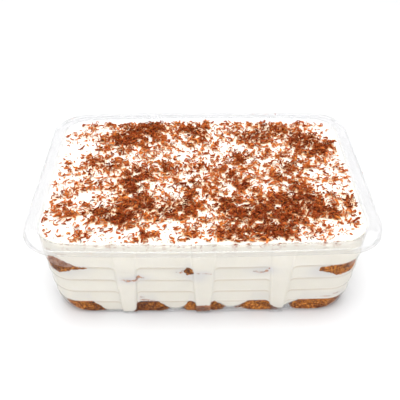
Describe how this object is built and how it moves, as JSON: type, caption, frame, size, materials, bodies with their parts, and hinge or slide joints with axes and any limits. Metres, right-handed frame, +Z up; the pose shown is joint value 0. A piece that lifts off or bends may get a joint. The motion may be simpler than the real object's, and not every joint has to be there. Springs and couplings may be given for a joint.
{
  "type": "tiramisu in a clear box",
  "caption": "Layered tiramisu in an open, rounded, clear plastic box with stepped and ribbed walls: sponge fingers in cream under chocolate shavings.",
  "frame": {"origin": "middle of the box's footprint, at the level of its base", "axes": "+Z up; +X along the long sides; +Y from the front to the back, along the sponge fingers"},
  "size_m": [0.172, 0.1248, 0.0535],
  "materials": {
    "clear_plastic": "clear, smooth, glossy thermoformed sheet",
    "cream": "soft satin cream, fine open crumb of air bubbles at the walls",
    "sponge": "wet coffee-soaked sponge, rough, darker where it is wettest",
    "chocolate": "satin milk chocolate, lighter at thin edges"
  },
  "bodies": {
    "root": {"container": "clear_plastic", "ladyfinger_lower_1": "sponge", "ladyfinger_lower_2": "sponge", "ladyfinger_lower_3": "sponge", "ladyfinger_lower_4": "sponge", "ladyfinger_lower_5": "sponge", "ladyfinger_upper_1": "sponge", "ladyfinger_upper_2": "sponge", "ladyfinger_upper_3": "sponge", "ladyfinger_upper_4": "sponge", "ladyfinger_upper_5": "sponge", "cream_lower": "cream", "cream_upper": "cream"}
  },
  "joints": []
}
